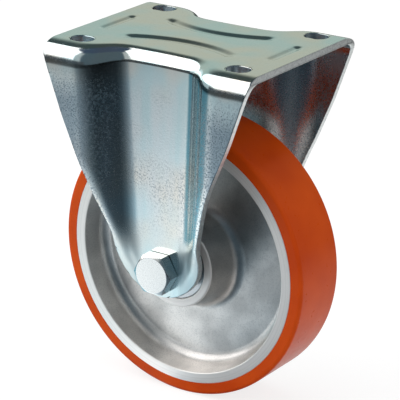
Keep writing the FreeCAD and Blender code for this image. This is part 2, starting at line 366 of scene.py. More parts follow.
class SharedEffects:
    """Node groups that several finishes use."""

    def __init__(self) -> None:
        """Build the groups once."""
        self.grain = self._grain()
        self.lathe = self._lathe()
        self.cloud = self._cloud()

    @staticmethod
    def _start(name: str, inputs: Dict[str, float]) -> Tuple[bpy.types.NodeTree, bpy.types.Node, bpy.types.Node]:
        """New group with a Vector input, number inputs and two value outputs."""
        tree = bpy.data.node_groups.new(name, "ShaderNodeTree")
        tree.interface.new_socket("Vector", in_out="INPUT", socket_type="NodeSocketVector")
        for key, value in inputs.items():
            socket = tree.interface.new_socket(key, in_out="INPUT", socket_type="NodeSocketFloat")
            socket.default_value = value
        for key in ("Height", "Mask"):
            tree.interface.new_socket(key, in_out="OUTPUT", socket_type="NodeSocketFloat")
        return tree, tree.nodes.new("NodeGroupInput"), tree.nodes.new("NodeGroupOutput")

    def _grain(self) -> bpy.types.NodeTree:
        """Fine uneven grain: soft dimples, with specks as its mask."""
        tree, start, end = self._start("surface_grain", {"Size": 1200.0, "Specks": 2600.0})
        noise = tree.nodes.new("ShaderNodeTexNoise")
        noise.inputs["Detail"].default_value = 3.0
        noise.inputs["Roughness"].default_value = 0.55
        specks = tree.nodes.new("ShaderNodeTexNoise")
        specks.inputs["Detail"].default_value = 3.0
        specks.inputs["Roughness"].default_value = 0.7
        for node, key in ((noise, "Size"), (specks, "Specks")):
            tree.links.new(start.outputs["Vector"], node.inputs["Vector"])
            tree.links.new(start.outputs[key], node.inputs["Scale"])
        tree.links.new(noise.outputs[0], end.inputs["Height"])
        tree.links.new(specks.outputs[0], end.inputs["Mask"])
        return tree

    def _lathe(self) -> bpy.types.NodeTree:
        """Turning marks: noise that varies with the distance from the axle only."""
        tree, start, end = self._start("turning_marks", {"Pitch": 5200.0, "Runs": 900.0})
        split = tree.nodes.new("ShaderNodeSeparateXYZ")
        tree.links.new(start.outputs["Vector"], split.inputs[0])
        flat = tree.nodes.new("ShaderNodeCombineXYZ")
        tree.links.new(split.outputs["X"], flat.inputs["X"])
        tree.links.new(split.outputs["Z"], flat.inputs["Y"])
        reach = tree.nodes.new("ShaderNodeVectorMath")
        reach.operation = "LENGTH"
        tree.links.new(flat.outputs[0], reach.inputs[0])
        for key, target, detail in (("Pitch", "Height", 2.0), ("Runs", "Mask", 3.0)):
            rings = tree.nodes.new("ShaderNodeTexNoise")
            rings.noise_dimensions = "1D"
            rings.inputs["Detail"].default_value = detail
            tree.links.new(reach.outputs["Value"], rings.inputs["W"])
            tree.links.new(start.outputs[key], rings.inputs["Scale"])
            tree.links.new(rings.outputs[0], end.inputs[target])
        return tree

    def _cloud(self) -> bpy.types.NodeTree:
        """Broad soft patches and long vertical drifts."""
        tree, start, end = self._start("broad_patches", {"Size": 28.0, "Drift": 160.0})
        noise = tree.nodes.new("ShaderNodeTexNoise")
        noise.inputs["Detail"].default_value = 2.0
        tree.links.new(start.outputs["Vector"], noise.inputs["Vector"])
        tree.links.new(start.outputs["Size"], noise.inputs["Scale"])
        tree.links.new(noise.outputs[0], end.inputs["Height"])
        squeeze = tree.nodes.new("ShaderNodeVectorMath")
        squeeze.operation = "MULTIPLY"
        squeeze.inputs[1].default_value = (1.0, 1.0, 0.12)
        tree.links.new(start.outputs["Vector"], squeeze.inputs[0])
        drift = tree.nodes.new("ShaderNodeTexNoise")
        drift.inputs["Detail"].default_value = 4.0
        tree.links.new(squeeze.outputs[0], drift.inputs["Vector"])
        tree.links.new(start.outputs["Drift"], drift.inputs["Scale"])
        tree.links.new(drift.outputs[0], end.inputs["Mask"])
        return tree


@dataclass(frozen=True)
class ZincSheet:
    """Zinc-plated, blue-passivated pressed steel: near mirror-bright, with a fine peel."""

    name: str = "zinc_sheet"
    pale: Colour = (0.82, 0.86, 0.88, 1.0)
    teal: Colour = (0.61, 0.81, 0.84, 1.0)
    straw: Colour = (0.85, 0.80, 0.71, 1.0)
    roughness: float = 0.10
    speck_roughness: float = 0.42
    worked_roughness: float = 0.26
    peel_depth: float = 0.026 * MM
    streak_depth: float = 0.10 * MM
    # Dark blue-grey laid into the specks and over the upper flanges: painted dark reflection.
    painted_dark_reflection: Colour = (0.30, 0.385, 0.45, 1.0)

    def build(self, shared: SharedEffects) -> bpy.types.Material:
        """Make the material."""
        shader = Shader(self.name)
        cloud = shader.group(shared.cloud, vector=shader.place)
        grain = shader.group(shared.grain, vector=shader.place, size=1500.0, specks=1150.0)
        tint = shader.ramp(cloud.outputs["Height"], 0.43, 0.58)
        colour = shader.blend(tint, self.teal, self.straw)
        pale = shader.ramp(cloud.outputs["Mask"], 0.35, 0.65, 0.25, 0.85)
        below, side, flange_dark_reflection, worked = self.zones(shader)
        pale = shader.times(pale, shader.math("ADD", shader.times(below, 0.65), 0.35))
        colour = shader.blend(pale, colour, self.pale)
        patch = shader.ramp(cloud.outputs["Height"], 0.44, 0.60, 0.08, 0.60)
        patch = shader.times(shader.math("MAXIMUM", patch, side), below)
        # Specks of a fine grain, thickest on the legs' flanks and flanges: a real surface grain whose dark tone is
        # painted dark reflection.
        speck = shader.times(shader.ramp(grain.outputs["Mask"], 0.50, 0.58), patch)
        colour = shader.blend(shader.times(speck, 0.65), colour, self.painted_dark_reflection)
        # Painted dark reflection over the upper flanges.
        colour = shader.blend(shader.times(flange_dark_reflection, 0.8), colour, self.painted_dark_reflection)
        rough = shader.ramp(cloud.outputs["Mask"], 0.3, 0.7, self.roughness - 0.02, self.roughness + 0.04)
        rough = shader.math("ADD", rough, shader.times(speck, self.speck_roughness))
        rough = shader.math("ADD", rough, shader.times(worked, self.worked_roughness))
        normal = shader.relief(cloud.outputs["Mask"], 0.5, self.streak_depth)
        normal = shader.relief(shader.times(grain.outputs["Height"], below), 1.0, self.peel_depth, normal)
        return shader.finish(colour, rough, normal, metallic=1.0)

    @staticmethod
    def zones(shader: Shader) -> Tuple[bpy.types.NodeSocket, ...]:
        """Masks by place on the sheet.

        Args:
            shader: The material's shader.

        Returns:
            Masks of the legs below the bend, of their flanks and flanges, of the upper flanges,
            where a dark reflection is painted, and of the flanks' feet, which the press leaves duller.
        """
        split = shader.node("ShaderNodeSeparateXYZ")
        shader.link(shader.place, split.inputs[0])
        away = shader.math("ABSOLUTE", split.outputs["X"], 0.0)
        below = shader.ramp(split.outputs["Z"], -0.010, -0.021, 0.12, 1.0)
        below = shader.times(below, shader.ramp(split.outputs["Z"], -0.092, -0.066, 0.15, 1.0))
        side = shader.ramp(away, 0.014, 0.024, 0.0, 0.9)
        flange_dark_reflection = shader.times(shader.ramp(away, 0.029, 0.036), shader.ramp(split.outputs["Z"], -0.014, -0.024))
        flange_dark_reflection = shader.times(flange_dark_reflection, shader.ramp(split.outputs["Z"], -0.076, -0.050))
        worked = shader.times(shader.ramp(away, 0.0085, 0.0110), shader.ramp(split.outputs["Z"], -0.076, -0.086))
        return below, side, flange_dark_reflection, worked


@dataclass(frozen=True)
class CutEdge:
    """Sheared and plated edge of the sheet: paler and duller than its faces."""

    colour: Colour = (0.90, 0.94, 0.92, 1.0)
    scuffed: Colour = (0.62, 0.64, 0.66, 1.0)

    def build(self, shared: SharedEffects) -> bpy.types.Material:
        """Make the material."""
        shader = Shader("cut_edge")
        grain = shader.group(shared.grain, vector=shader.place, size=900.0)
        colour = shader.blend(shader.ramp(grain.outputs["Height"], 0.45, 0.75), self.colour, self.scuffed)
        normal = shader.relief(grain.outputs["Height"], 0.6, 0.06 * MM)
        return shader.finish(colour, 0.34, normal, metallic=0.9)


@dataclass(frozen=True)
class CastAluminium:
    """Die-cast skin: mid grey, satin, faintly wavy, with a few small pores."""

    colour: Colour = (0.60, 0.58, 0.56, 1.0)
    pale: Colour = (0.84, 0.81, 0.78, 1.0)
    pore: Colour = (0.34, 0.34, 0.34, 1.0)

    def build(self, shared: SharedEffects) -> bpy.types.Material:
        """Make the material."""
        shader = Shader("cast_aluminium")
        grain = shader.group(shared.grain, vector=shader.place, size=700.0, specks=1100.0)
        fine = shader.group(shared.grain, vector=shader.place, size=1400.0, specks=1700.0)
        cloud = shader.group(shared.cloud, vector=shader.place, size=60.0)
        pores = shader.ramp(grain.outputs["Mask"], 0.68, 0.74, 0.0, 0.7)
        colour = shader.blend(shader.ramp(cloud.outputs["Height"], 0.36, 0.62), self.colour, self.pale)
        colour = shader.blend(shader.ramp(fine.outputs["Mask"], 0.50, 0.64, 0.0, 0.28), colour, self.pore)
        colour = shader.blend(pores, colour, self.pore)
        rough = shader.ramp(fine.outputs["Mask"], 0.35, 0.65, 0.34, 0.44)
        normal = shader.relief(cloud.outputs["Height"], 0.6, 0.45 * MM)
        normal = shader.relief(grain.outputs["Height"], 0.6, 0.09 * MM, normal)
        return shader.finish(colour, rough, normal, metallic=1.0)


@dataclass(frozen=True)
class TurnedAluminium:
    """Bright turned face with fine rings round the axle."""

    axle: float
    colour: Colour = (0.97, 0.94, 0.91, 1.0)
    dull: Colour = (0.85, 0.82, 0.79, 1.0)

    def build(self, shared: SharedEffects) -> bpy.types.Material:
        """Make the material."""
        shader = Shader("turned_aluminium")
        lift = shader.node("ShaderNodeMapping")
        lift.inputs["Location"].default_value = (0, 0, -self.axle * MM)
        shader.link(shader.place, lift.inputs[0])
        marks = shader.group(shared.lathe, vector=lift.outputs[0])
        colour = shader.blend(shader.ramp(marks.outputs["Mask"], 0.35, 0.65, 0.0, 0.6), self.colour, self.dull)
        rough = shader.ramp(marks.outputs["Height"], 0.3, 0.7, 0.40, 0.52)
        normal = shader.relief(marks.outputs["Height"], 0.30, 0.02 * MM)
        return shader.finish(colour, rough, normal, metallic=0.65)


@dataclass(frozen=True)
class Polyurethane:
    """Cast orange elastomer, half gloss, faintly uneven in depth of colour."""

    side: Colour = (0.67, 0.084, 0.004, 1.0)
    deep: Colour = (0.55, 0.054, 0.002, 1.0)

    def build(self, shared: SharedEffects) -> bpy.types.Material:
        """Make the material."""
        shader = Shader("polyurethane")
        cloud = shader.group(shared.cloud, vector=shader.place, size=40.0)
        grain = shader.group(shared.grain, vector=shader.place, size=420.0)
        colour = shader.blend(shader.ramp(cloud.outputs["Height"], 0.3, 0.7), self.side, self.deep)
        rough = shader.ramp(grain.outputs["Height"], 0.3, 0.7, 0.27, 0.36)
        normal = shader.relief(grain.outputs["Height"], 0.25, 0.05 * MM)
        return shader.finish(colour, rough, normal, specular_ior_level=0.12)


@dataclass(frozen=True)
class PlainMetal:
    """Small turned, ground or plated steel pieces."""

    name: str
    colour: Colour
    roughness: float
    bump: float = 0.2

    def build(self, shared: SharedEffects) -> bpy.types.Material:
        """Make the material."""
        shader = Shader(self.name)
        grain = shader.group(shared.grain, vector=shader.place, size=1500.0)
        darker = tuple(0.72 * channel for channel in self.colour[:3]) + (1.0,)
        colour = shader.blend(shader.ramp(grain.outputs["Mask"], 0.50, 0.75, 0.0, 0.6), self.colour, darker)
        rough = shader.ramp(grain.outputs["Height"], 0.3, 0.7, self.roughness - 0.05, self.roughness + 0.08)
        normal = shader.relief(grain.outputs["Height"], self.bump, 0.04 * MM)
        return shader.finish(colour, rough, normal, metallic=1.0)


@dataclass(frozen=True)
class PlainPolymer:
    """Moulded seals and locking rings."""

    name: str
    colour: Colour
    roughness: float

    def build(self, shared: SharedEffects) -> bpy.types.Material:
        """Make the material."""
        shader = Shader(self.name)
        grain = shader.group(shared.grain, vector=shader.place, size=900.0)
        darker = tuple(0.8 * channel for channel in self.colour[:3]) + (1.0,)
        colour = shader.blend(shader.ramp(grain.outputs["Height"], 0.4, 0.7), self.colour, darker)
        rough = shader.ramp(grain.outputs["Mask"], 0.3, 0.7, self.roughness - 0.05, self.roughness + 0.05)
        normal = shader.relief(grain.outputs["Height"], 0.2, 0.04 * MM)
        return shader.finish(colour, rough, normal)


class Finishes:
    """Every finish of the castor, built once."""

    def __init__(self, axle: float) -> None:
        """Build the materials.

        Args:
            axle: Height of the axle, in millimetres.
        """
        shared = SharedEffects()
        self.sheet = ZincSheet().build(shared)
        # Darker, duller copy of the zinc for the sheet's inner faces: painted shade of the fork's inside.
        self.shaded_sheet_inside = ZincSheet(
            "zinc_sheet_inside_painted_shade", (0.60, 0.62, 0.65, 1.0), (0.47, 0.57, 0.61, 1.0), (0.60, 0.57, 0.55, 1.0),
            roughness=0.24, speck_roughness=0.16, peel_depth=0.009 * MM,
        ).build(shared)
        self.pierced = PlainMetal("pierced_edge", (0.52, 0.60, 0.64, 1.0), 0.34).build(shared)
        self.cut_edge = CutEdge().build(shared)
        self.cast = CastAluminium().build(shared)
        self.turned = TurnedAluminium(axle).build(shared)
        self.tread = Polyurethane().build(shared)
        self.bolt = PlainMetal("bolt_zinc", (0.92, 0.91, 0.885, 1.0), 0.17, 0.3).build(shared)
        self.tube = PlainMetal("turned_steel", linear(176, 178, 180), 0.34).build(shared)
        self.bearing = PlainMetal("bearing_steel", linear(206, 208, 210), 0.2, 0.08).build(shared)
        self.brass = PlainMetal("cage_brass", linear(196, 164, 96), 0.34).build(shared)
        self.rubber = PlainPolymer("seal_rubber", linear(34, 34, 36), 0.6).build(shared)
        self.nylon = PlainPolymer("nylon", linear(214, 214, 204), 0.45).build(shared)


# The castor's pieces


@dataclass
class Bracket:
    """Plate and legs pressed from one sheet. Sizes are in millimetres."""

    length: float = 105.0
    width: float = 85.0
    sheet: float = 3.0
    bend_radius: float = 6.0
    bend_turns: Tuple[float, ...] = (0.0, 27.0, 72.0, 90.0)
    panel_bend: Corner = (6.0, 6.6, 5.0)
    flange_bend: Corner = (12.0, 6.5, 15.0)
    panel_face: float = 30.25
    panel_half: float = 18.8
    panel_narrowing: float = 4.5
    flank_run: float = 11.5
    outer_radius: float = 16.0
    inner_radius: float = 12.0
    panel_bow: float = 3.6
    turn_height: float = 40.5
    turn_blend: float = 3.0
    foot_blend: float = 1.6
    shoulder: Tuple[float, float] = (4.0, 9.0)
    hip: Corner = (42.6, -31.0, 100.0)
    knee: Corner = (31.0, -57.5, 60.0)
    leg_half: float = 22.2
    neck_height: float = 15.0
    neck_radius: float = 20.0
    end_drop: float = 12.0
    axle: float = -97.5
    hole_spacing: Point2 = (80.0, 60.0)
    slot: Point2 = (11.0, 8.5)
    axle_hole: float = 5.15
    long_bead: Tuple[float, float, float, float, float] = (8.2, 1.0, 25.0, 9.2, 5.6)
    short_bead: Tuple[float, float, float, float] = (6.2, 0.8, 10.0, 9.5)
    column_pitch: float = 0.9
    row_pitch: float = 0.9
    leg_pitch: float = 1.1
    bend_steps: int = 20
    edge_round: float = 0.35

    def hat(self, x: float, z: float) -> Tuple[float, float]:
        """Hat section of the outer face, seen from above.

        Args:
            x: Place along the plate.
            z: Height.

        Returns:
            The rise over the flat middle panel and its slope, both for a positive x.
        """
        x = abs(x)
        depth = self.width / 2 - self.panel_face
        corner = self.panel_half - self.panel_narrowing * z / self.axle
        angle = math.atan2(depth, self.flank_run)
        bow = math.radians(self.panel_bow)
        run = self.inner_radius * (math.sin(angle) - math.sin(bow))
        gain = self.inner_radius * (math.cos(bow) - math.cos(angle))
        low_start = ((corner - run) * math.tan(angle) + gain) / (math.tan(angle) - math.tan(bow) / 2)
        low_end = low_start + run
        high_end = corner + self.flank_run + self.outer_radius * math.tan(angle / 2)
        high_start = high_end - self.outer_radius * math.sin(angle)
        if x <= low_start:
            slope = math.tan(bow) * x / low_start
            return slope * x / 2, slope
        if x <= low_end:
            along = x - low_start + self.inner_radius * math.sin(bow)
            drop = math.sqrt(self.inner_radius ** 2 - along ** 2)
            rise = math.tan(bow) * low_start / 2 + self.inner_radius * math.cos(bow) - drop
            return rise, along / drop
        if x <= high_start:
            return (x - corner) * math.tan(angle), math.tan(angle)
        if x <= high_end:
            drop = math.sqrt(self.outer_radius ** 2 - (high_end - x) ** 2)
            return depth - self.outer_radius + drop, (high_end - x) / drop
        return depth, 0.0

    def leg_face(self, x: float, z: float) -> float:
        """Distance of a leg's outer face from the middle plane; its flanges lean in at the foot."""
        rise = self.hat(x, z)[0]
        lean = (z - self.axle) / self.turn_height * (self.width / 2 - self.panel_face)
        lean = (lean + math.sqrt(lean * lean + self.foot_blend ** 2)) / 2
        blend = max(1e-6, min(self.turn_blend, 2 * min(rise, lean)))
        share = max(0.0, blend - abs(rise - lean)) / blend
        return self.panel_face + min(rise, lean) - share * share * blend / 4

    def bend_at(self, x: float, turn: float) -> Point2:
        """Run and drop of the plate's bend, made of three arcs that are softer on the flanges.

        Args:
            x: Place along the plate.
            turn: Angle turned from the plate, in radians.

        Returns:
            How far the bend has come outwards and downwards from its start.
        """
        share = self.hat(x, -self.bend_radius)[0] / (self.width / 2 - self.panel_face)
        run = fall = 0.0
        for index, (panel, flange) in enumerate(zip(self.panel_bend, self.flange_bend)):
            start = math.radians(self.bend_turns[index])
            end = max(start, min(turn, math.radians(self.bend_turns[index + 1])))
            radius = panel + (flange - panel) * share
            run += radius * (math.sin(end) - math.sin(start))
            fall += radius * (math.cos(start) - math.cos(end))
        return run, fall

    def profile(self, x: float) -> Tuple[float, float, float]:
        """Outer face at the foot of the plate's bend.

        Args:
            x: Place along the plate.

        Returns:
            The distance from the middle plane, and the outward normal's x and y.
        """
        rise, slope = self.hat(x, -self.bend_radius)
        side = -1.0 if x < 0 else 1.0
        size = math.hypot(slope, 1.0)
        return self.panel_face + rise, -side * slope / size, 1.0 / size

    def bead_drop(self, x: float, y: float) -> float:
        """How far the beads press the plate down at a place."""
        width, depth, half_span, offset, bow = self.long_bead
        bow_radius = (half_span ** 2 + bow ** 2) / (2 * bow)
        centre = offset + bow_radius
        drop = 0.0
        if abs(x) <= half_span:
            away = abs(math.hypot(x, centre - abs(y)) - bow_radius)
        else:
            away = math.hypot(abs(x) - half_span, abs(y) - offset - bow)
        drop = max(drop, self.bead_depth(away, width, depth))
        width, depth, half, inset = self.short_bead
        past = max(0.0, abs(y) - half)
        away = math.hypot(abs(x) - (self.length / 2 - inset), past)
        return max(drop, self.bead_depth(away, width, depth))

    @staticmethod
    def bead_depth(away: float, width: float, depth: float) -> float:
        """Depth of a bead's soft section at a distance from its middle line."""
        if away >= width / 2:
            return 0.0
        return depth * (1 + math.cos(2 * math.pi * away / width)) / 2

    def skin_point(self, x: float, row: Tuple[str, float]) -> Vector:
        """Point of the outer skin for a column and a row of the pressed sheet."""
        kind, value = row
        run, fall = self.bend_at(x, math.pi / 2)
        if kind == "foot":
            return Vector((x, self.leg_face(x, value), value))
        if kind == "leg":
            z = self.turn_start() * (1 - value) - fall * value
            return Vector((x, self.leg_face(x, z), z))
        y, nx, ny = self.profile(x)
        if kind == "bend":
            part_run, part_fall = self.bend_at(x, math.pi / 2 - value)
            inward = run - part_run
            return Vector((x - nx * inward, y - ny * inward, -part_fall))
        x -= nx * run
        y = (y - ny * run) * value
        return Vector((x, y, -self.bead_drop(x, y)))

    def turn_start(self) -> float:
        """Height above which the flanges stand upright."""
        return self.axle + self.turn_height + 4 * self.turn_blend

    def rows(self) -> List[Tuple[str, float, int]]:
        """Rows of the skin from the foot of one leg, over the plate, to the other's."""
        foot = self.axle - self.end_drop - 2 * self.sheet
        turn = self.turn_start()
        low = round((turn - foot) / self.leg_pitch)
        high = round((-self.bend_radius - turn) / (4 * self.leg_pitch))
        leg = [("foot", foot + (turn - foot) * step / low) for step in range(low)]
        leg += [("leg", step / high) for step in range(high)]
        bend = [("bend", math.pi / 2 * step / self.bend_steps) for step in range(self.bend_steps)]
        half = leg + bend
        count = 2 * round((self.width / 2 - self.bend_radius) / self.row_pitch)
        plate = [("plate", 1 - 2 * step / count) for step in range(count + 1)]
        front = [(kind, value, -1) for kind, value in half]
        middle = [(kind, -value, 1) for kind, value in plate]
        back = [(kind, value, 1) for kind, value in reversed(half)]
        return front + middle + back

    def skin(self) -> bpy.types.Object:
        """Outer skin: a grid primitive whose vertices are pressed over the fork's form."""
        rows = self.rows()
        columns = 2 * round(self.length / 2 / self.column_pitch) + 1
        overrun = self.sheet
        Bench.clear()
        bpy.ops.mesh.primitive_grid_add(x_subdivisions=columns - 1, y_subdivisions=len(rows) - 1, size=2.0)
        obj = Bench.named("bracket_sheet")
        half = self.length / 2 + overrun
        for vertex in obj.data.vertices:
            column = round((vertex.co.x + 1) / 2 * (columns - 1))
            row = round((vertex.co.y + 1) / 2 * (len(rows) - 1))
            kind, value, sign = rows[row]
            point = self.skin_point(half * (2 * column / (columns - 1) - 1), (kind, value))
            vertex.co = Vector((point.x, sign * point.y, point.z)) * MM
        return obj

    def side_prism(self) -> bpy.types.Object:
        """Prism along Y with the fork's side outline, used to trim the sheet."""
        half = self.length / 2
        bottom = self.axle - self.end_drop
        right = [
            (half, self.sheet, 0.0), (half, -self.shoulder[0], self.shoulder[1]), self.hip, self.knee,
            (self.leg_half, self.axle + self.neck_height, self.neck_radius), (self.leg_half, bottom, self.leg_half),
        ]
        left = [(-x, z, radius) for x, z, radius in reversed(right)]
        outline = rounded(right + left, 24)
        reach = self.width
        points = [Vector((x, -reach, z)) for x, z in outline]
        return Bench.pulled("side_trim", points, Vector((0, 2 * reach, 0)))

    def slot_tool(self, x: float, y: float) -> bpy.types.Object:
        """Upright prism of one fixing slot."""
        half_run = self.slot[0] / 2
        radius = self.slot[1] / 2
        corners = [
            (x + along * half_run, y + across * radius, radius)
            for along, across in ((-1, -1), (1, -1), (1, 1), (-1, 1))
        ]
        points = [Vector((px, py, self.sheet)) for px, py in rounded(corners, 12)]
        return Bench.pulled("slot_tool", points, Vector((0, 0, -4 * self.sheet)))

    def axle_tool(self) -> bpy.types.Object:
        """Cylinder along Y that opens both legs for the axle bolt."""
        Bench.clear()
        bpy.ops.mesh.primitive_cylinder_add(
            vertices=72, radius=self.axle_hole * MM, depth=2 * self.width * MM,
            location=(0, 0, self.axle * MM), rotation=(math.pi / 2, 0, 0),
        )
        obj = Bench.named("axle_tool")
        bpy.ops.object.transform_apply(location=True, rotation=True, scale=True)
        return obj

    def build(self, finishes: Finishes) -> bpy.types.Object:
        """Press, trim and pierce the sheet and dress it.

        Args:
            finishes: The castor's materials.

        Returns:
            The finished fork.
        """
        obj = self.skin()
        obj.data.materials.append(finishes.sheet)
        # The inner faces take the darker copy of the zinc: painted shade.
        obj.data.materials.append(finishes.shaded_sheet_inside)
        Bench.take(obj)
        Bench.edit()
        bpy.ops.mesh.normals_make_consistent(inside=False)
        Bench.done()
        if sum(face.normal.z * face.area for face in obj.data.polygons) < 0:
            obj.data.flip_normals()
        wall = obj.modifiers.new("wall", "SOLIDIFY")
        wall.thickness = self.sheet * MM
        wall.offset = -1.0
        wall.use_even_offset = True
        wall.use_quality_normals = True
        wall.material_offset = 1
        bpy.ops.object.modifier_apply(modifier=wall.name)
        tools = [
            (self.side_prism(), "INTERSECT", finishes.cut_edge), (self.axle_tool(), "DIFFERENCE", finishes.cut_edge),
        ]
        for x in (-self.hole_spacing[0] / 2, self.hole_spacing[0] / 2):
            for y in (-self.hole_spacing[1] / 2, self.hole_spacing[1] / 2):
                tools.append((self.slot_tool(x, y), "DIFFERENCE", finishes.pierced))
        for tool, operation, finish in tools:
            tool.data.materials.append(finish)
            Bench.cut(obj, tool, operation)
        Bench.bevelled(obj, self.edge_round, 3, 55.0)
        Bench.smoothed(obj, 50.0)
        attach(obj, "bracket")
        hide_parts("bracket")
        return obj


@dataclass
class WheelCentre:
    """Cast wheel centre: rim, web and hub. Sizes are in millimetres."""

    rim_radius: float = 57.0
    half_width: float = 15.0
    ring_width: float = 4.7
    wall_draft: float = 2.2
    half_web: float = 3.2
    web_fillet: float = 5.0
    hub_radius: float = 19.7
    hub_draft: float = 3.0
    half_hub: float = 20.0
    seat_radius: float = 16.0
    seat_start: float = 10.4
    shoulder_radius: float = 13.5
    axle: float = -97.5
    steps: int = 160

    def section(self) -> List[Corner]:
        """Closed half-plane section as (radius, y, corner radius)."""
        ring_inner = self.rim_radius - self.ring_width
        half = [
            (self.shoulder_radius, self.seat_start, 0.2), (self.seat_radius, self.seat_start, 0.2),
            (self.seat_radius, self.half_hub, 0.45), (self.hub_radius, self.half_hub, 0.8),
            (self.hub_radius + self.hub_draft, self.half_web, self.web_fillet),
            (ring_inner - self.wall_draft, self.half_web, self.web_fillet),
            (ring_inner, self.half_width, 0.5), (self.rim_radius, self.half_width, 0.25),
        ]
        return half + [(radius, -y, edge) for radius, y, edge in reversed(half)]

    def build(self, finishes: Finishes) -> bpy.types.Object:
        """Turn the section and dress its cast and its machined faces."""
        obj = Bench.spun("wheel_centre_cast", self.section(), self.axle, self.steps)
        obj.data.materials.append(finishes.cast)
        obj.data.materials.append(finishes.turned)
        for face in obj.data.polygons:
            x, y, z = face.center / MM
            radius = math.hypot(x, z - self.axle)
            on_ring = abs(y) > self.half_width - 0.45 and radius > self.rim_radius - self.ring_width - 0.2
            on_hub = abs(y) > self.half_hub - 0.75
            in_bore = radius < self.seat_radius + 0.3
            face.material_index = 1 if on_ring or on_hub or in_bore else 0
        Bench.smoothed(obj, 35.0)
        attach(obj, "wheel")
        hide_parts("wheel_centre")
        return obj


@dataclass
class Tread:
    """Polyurethane tyre cast round the rim. Sizes are in millimetres."""

    inner: float = 57.0
    outer: float = 62.5
    half_width: float = 15.0
    edge_radius: float = 1.8
    axle: float = -97.5
    steps: int = 192

    def build(self, finishes: Finishes) -> bpy.types.Object:
        """Turn the tyre and dress it."""
        section = [
            (self.inner, -self.half_width, 0.15), (self.outer, -self.half_width, self.edge_radius),
            (self.outer, self.half_width, self.edge_radius), (self.inner, self.half_width, 0.15),
        ]
        obj = Bench.spun("tread_tyre", section, self.axle, self.steps, 8)
        obj.data.materials.append(finishes.tread)
        Bench.smoothed(obj, 35.0)
        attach(obj, "wheel")
        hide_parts("tread")
        return obj


@dataclass
class AxleBolt:
    """Hexagon bolt through both legs, its head on the near side. Sizes are in millimetres."""

    radius: float = 5.0
    across_flats: float = 17.0
    head: float = 6.4
    washer_face: float = 0.4
    washer_shrink: float = 0.5
    face_share: float = 0.95
    cone_slope: float = 0.55
    seat: float = -30.25
    end: float = 42.75
    thread_start: float = 30.0
    pitch: float = 1.5
    thread_depth: float = 0.75
    end_bevel: float = 1.0
    edge_round: float = 0.16
    axle: float = -97.5
    steps: int = 96

    def hexagon(self, name: str, start: float, end: float) -> bpy.types.Object:
        """Hexagonal block about the axle with flats above and below.

        Args:
            name: Name of the new object.
            start: Place of its first face along Y.
            end: Place of its last face along Y.

        Returns:
            The block, its place in its mesh.
        """
        Bench.clear()
        bpy.ops.mesh.primitive_cylinder_add(
            vertices=6, radius=self.across_flats / math.sqrt(3) * MM, depth=abs(end - start) * MM,
            location=(0, (start + end) / 2 * MM, self.axle * MM), rotation=(math.pi / 2, 0, math.pi / 2),
        )
        obj = Bench.named(name)
        obj.rotation_euler = (math.pi / 2, math.pi / 6, 0)
        bpy.ops.object.transform_apply(location=True, rotation=True, scale=True)
        return obj

    def cone(self, name: str, start: float, end: float) -> bpy.types.Object:
        """Turned block that takes the hexagon's corners off at its end face."""
        flat = self.across_flats / 2 * self.face_share
        wide = self.across_flats
        foot = end + math.copysign((wide - flat) * self.cone_slope, start - end)
        section = [(0.0, start, 0.0), (wide, start, 0.0), (wide, foot, 0.0), (flat, end, 0.0), (0.0, end, 0.0)]
        return Bench.spun(name, section, self.axle, self.steps)

    def shank(self) -> bpy.types.Object:
        """Shank with its washer face, and a thread raised on its far end."""
        face = self.across_flats / 2 - self.washer_shrink
        inside = self.seat - self.head / 2
        section = [
            (0.0, inside, 0.0), (face - 1.0, inside, 0.0), (face, self.seat - self.washer_face - 0.2, 0.0),
            (face, self.seat, 0.0), (self.radius, self.seat, 0.0), (self.radius, self.thread_start, 0.0),
        ]
        count = round((self.end - self.end_bevel - self.thread_start) / (self.pitch / 8))
        section += [
            (self.radius, self.thread_start + (self.end - self.end_bevel - self.thread_start) * step / count, 0.0)
            for step in range(1, count + 1)
        ]
        section += [(self.radius - self.end_bevel, self.end, 0.0), (0.0, self.end, 0.0)]
        obj = Bench.spun("shank", section, self.axle, self.steps)
        for vertex in obj.data.vertices:
            x, y, z = vertex.co / MM
            reach = math.hypot(x, z - self.axle)
            if y <= self.thread_start + 1e-3 or abs(reach - self.radius) > 1e-3:
                continue
            phase = ((y - self.thread_start) / self.pitch - math.atan2(z - self.axle, x) / (2 * math.pi)) % 1.0
            depth = self.thread_depth * min(1.0, max(0.0, 1.25 * abs(2 * phase - 1) - 0.05))
            share = 1 - depth * min(1.0, (y - self.thread_start) / self.pitch) / reach
            vertex.co = Vector((x * share, y, self.axle + (z - self.axle) * share)) * MM
        return obj

    def build(self, finishes: Finishes) -> bpy.types.Object:
        """Make the bolt and dress it."""
        top = self.seat - self.head
        obj = self.hexagon("axle_bolt_plated", self.seat - self.washer_face, top)
        Bench.cut(obj, self.cone("cone", self.seat, top), "INTERSECT")
        Bench.cut(obj, self.shank(), "UNION")
        obj.data.materials.clear()
        obj.data.materials.append(finishes.bolt)
        Bench.bevelled(obj, self.edge_round, 2, 28.0)
        Bench.smoothed(obj, 32.0)
        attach(obj, "bracket")
        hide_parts("axle_bolt")
        return obj


